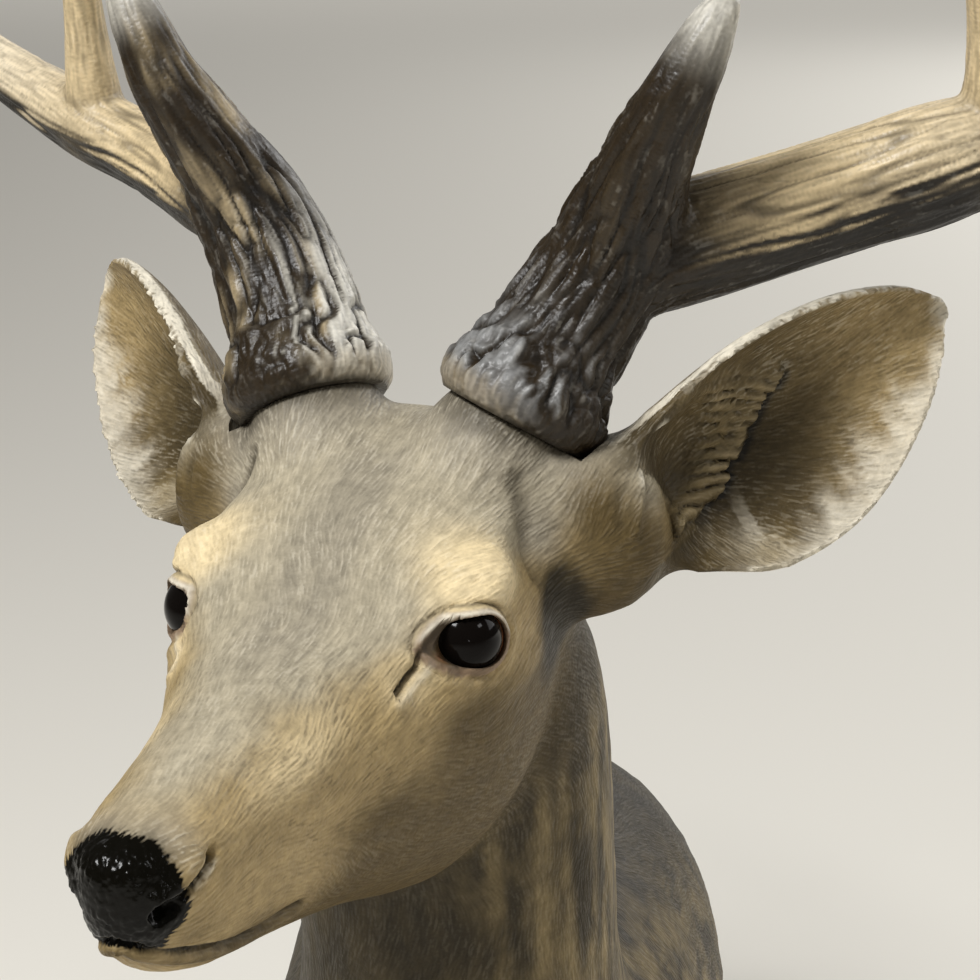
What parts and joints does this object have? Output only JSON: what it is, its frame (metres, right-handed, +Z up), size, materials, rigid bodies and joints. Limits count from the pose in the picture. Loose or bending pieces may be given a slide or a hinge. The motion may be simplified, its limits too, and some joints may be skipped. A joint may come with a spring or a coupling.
{
  "type": "stag bust",
  "caption": "Life-size bust of a stag, cut flat below the shoulders: a hollow cast head turned to one side, forked antlers seated on its stumps, spread ears and set eyes.",
  "frame": {"origin": "on the flat underside that it stands on, below the middle of the shoulders", "axes": "+Z up; -Y the way the chest faces; +X the stag's left; the head looks 15 degrees to the stag's right of -Y"},
  "size_m": [0.5887, 0.6543, 0.7698],
  "materials": {
    "coat": "painted resin, satin",
    "horn": "painted resin, semi-gloss",
    "eye": "high gloss"
  },
  "bodies": {
    "root": {"bust": "coat", "antler_left": "horn", "antler_right": "horn", "eye_left": "eye", "eye_right": "eye"}
  },
  "joints": []
}
